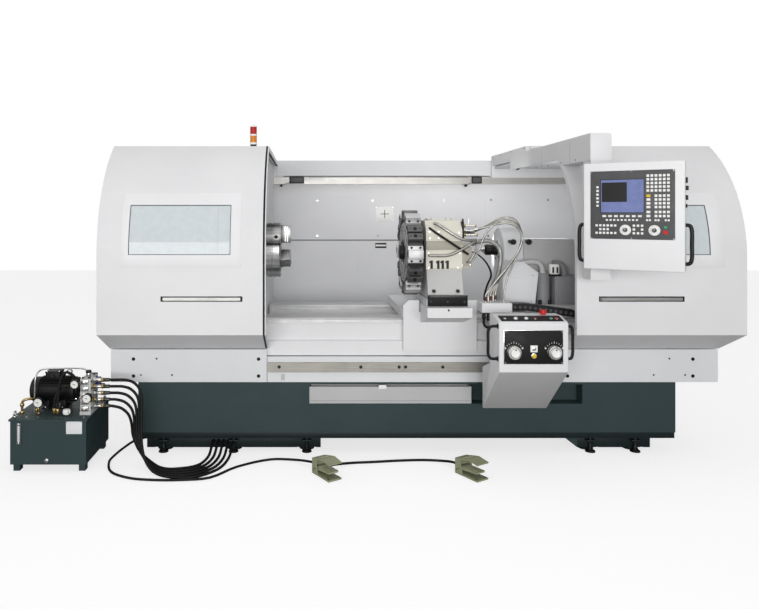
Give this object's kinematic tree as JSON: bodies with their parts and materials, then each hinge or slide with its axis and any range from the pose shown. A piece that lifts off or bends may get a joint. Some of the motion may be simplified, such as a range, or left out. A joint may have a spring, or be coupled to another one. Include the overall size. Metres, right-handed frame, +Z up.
{
  "type": "flat-bed turning lathe",
  "caption": "Enclosed flat-bed turning lathe with sliding curved doors, a tool turret, a tailstock, a swivelling operator panel, a hydraulic unit and foot pedals.",
  "frame": {"origin": "middle of the footprint on the floor, cords left out", "axes": "+X along the bed from the headstock to the tailstock, +Y from the operator to the machine's back, +Z up"},
  "size_m": [4.621, 2.6096, 2.2441],
  "materials": {
    "white_paint": "satin",
    "grey_paint": "satin",
    "cream_paint": "satin",
    "green_paint": "satin",
    "olive_paint": "satin",
    "black_paint": "satin",
    "black_plastic": "matt",
    "red_plastic": "gloss",
    "rubber": "matt",
    "ground_steel": "ground",
    "dark_steel": "ground",
    "glass": "clear"
  },
  "bodies": {
    "machine": {"base_stand": "green_paint", "cable_trough": "grey_paint", "bed": "white_paint", "guideway_front": "ground_steel", "guideway_rear": "ground_steel", "front_rail_carrier": "white_paint", "control_box_rail": "ground_steel", "front_skirt_left": "grey_paint", "front_skirt_right": "grey_paint", "rear_panel": "grey_paint", "rear_fascia": "grey_paint", "door_rail": "ground_steel", "headstock_housing": "grey_paint", "right_end_hood": "grey_paint", "power_unit_tank": "green_paint", "power_unit_motor": "black_paint", "power_unit_valves": "ground_steel", "floor_hose_1": "rubber", "floor_hose_2": "rubber", "floor_hose_3": "rubber", "floor_hose_4": "rubber", "floor_hose_5": "rubber", "pedal_cable_1": "rubber", "pedal_cable_2": "rubber", "pedal_guard_1": "olive_paint", "pedal_guard_2": "olive_paint"},
    "chuck": {"chuck_body": "ground_steel"},
    "jaw_1": {"chuck_jaw_1": "dark_steel"},
    "jaw_2": {"chuck_jaw_2": "dark_steel"},
    "jaw_3": {"chuck_jaw_3": "dark_steel"},
    "door_left": {"left_door": "white_paint", "left_door_window": "glass", "left_door_handle": "ground_steel", "left_door_seal": "rubber", "beacon_lamp": "red_plastic"},
    "door_right": {"right_door": "white_paint", "right_door_window": "glass", "right_door_handle": "ground_steel", "panel_arm": "white_paint"},
    "panel": {"operator_panel": "grey_paint"},
    "carriage": {"saddle": "white_paint", "saddle_front_cover": "white_paint", "apron_cover": "white_paint", "junction_box": "white_paint", "carriage_link": "grey_paint", "energy_chain": "black_plastic", "control_box": "white_paint", "emergency_stop": "red_plastic", "turret_hose_1": "ground_steel", "turret_hose_2": "ground_steel", "turret_hose_3": "ground_steel"},
    "cross_slide": {"cross_slide": "grey_paint", "turret_body": "cream_paint"},
    "turret": {"turret_disc": "ground_steel"},
    "wheel_x": {"handwheel_x": "ground_steel"},
    "wheel_z": {"handwheel_z": "ground_steel"},
    "tailstock": {"tailstock": "grey_paint"},
    "quill": {"tailstock_quill": "dark_steel"},
    "treadle_1": {"pedal_treadle_1": "olive_paint"},
    "treadle_2": {"pedal_treadle_2": "olive_paint"}
  },
  "joints": [
    {"name": "spindle_spin", "type": "hinge", "parent": "machine", "child": "chuck", "pos_m": [-0.6375, 0.05479, 1.345], "axis": [1, 0, 0], "continuous": true},
    {"name": "jaw_1_slide", "type": "slide", "parent": "chuck", "child": "jaw_1", "axis": [0, 0, 1], "range_m": [0, 0.012]},
    {"name": "jaw_2_slide", "type": "slide", "parent": "chuck", "child": "jaw_2", "axis": [0, -0.866, -0.5], "range_m": [0, 0.012]},
    {"name": "jaw_3_slide", "type": "slide", "parent": "chuck", "child": "jaw_3", "axis": [0, 0.866, -0.5], "range_m": [0, 0.012]},
    {"name": "left_door_slide", "type": "slide", "parent": "machine", "child": "door_left", "axis": [1, 0, 0], "range_m": [0, 0.975]},
    {"name": "right_door_slide", "type": "slide", "parent": "machine", "child": "door_right", "axis": [-1, 0, 0], "range_m": [0, 0.962]},
    {"name": "panel_swivel", "type": "hinge", "parent": "door_right", "child": "panel", "pos_m": [1.3055, -0.93021, 1.6], "axis": [0, 0, 1], "range_deg": [0, 35]},
    {"name": "carriage_slide", "type": "slide", "parent": "machine", "child": "carriage", "axis": [-1, 0, 0], "range_m": [0, 0.55]},
    {"name": "cross_slide_feed", "type": "slide", "parent": "carriage", "child": "cross_slide", "axis": [0, 1, 0], "range_m": [0, 0.33]},
    {"name": "turret_index", "type": "hinge", "parent": "cross_slide", "child": "turret", "pos_m": [0.2695, -0.33521, 1.35], "axis": [1, 0, 0], "continuous": true},
    {"name": "handwheel_x_spin", "type": "hinge", "parent": "carriage", "child": "wheel_x", "pos_m": [0.7645, -0.95951, 0.797], "axis": [0, -1, 0], "continuous": true},
    {"name": "handwheel_z_spin", "type": "hinge", "parent": "carriage", "child": "wheel_z", "pos_m": [1.0015, -0.95951, 0.797], "axis": [0, -1, 0], "continuous": true},
    {"name": "tailstock_slide", "type": "slide", "parent": "machine", "child": "tailstock", "axis": [-1, 0, 0], "range_m": [0, 0.3]},
    {"name": "quill_slide", "type": "slide", "parent": "tailstock", "child": "quill", "axis": [-1, 0, 0], "range_m": [0, 0.12]},
    {"name": "treadle_1_press", "type": "hinge", "parent": "machine", "child": "treadle_1", "pos_m": [-0.36154, -0.72635, 0.04], "axis": [0.848, 0.5299, 0], "range_deg": [0, 10], "stiffness_Nm_per_rad": 6, "springref_deg": -20.05},
    {"name": "treadle_2_press", "type": "hinge", "parent": "machine", "child": "treadle_2", "pos_m": [0.52846, -0.72635, 0.04], "axis": [0.848, 0.5299, 0], "range_deg": [0, 10], "stiffness_Nm_per_rad": 6, "springref_deg": -20.05}
  ],
  "couplings": [
    {"joint": "jaw_2_slide", "follows": "jaw_1_slide", "ratio": 1},
    {"joint": "jaw_3_slide", "follows": "jaw_1_slide", "ratio": 1}
  ]
}
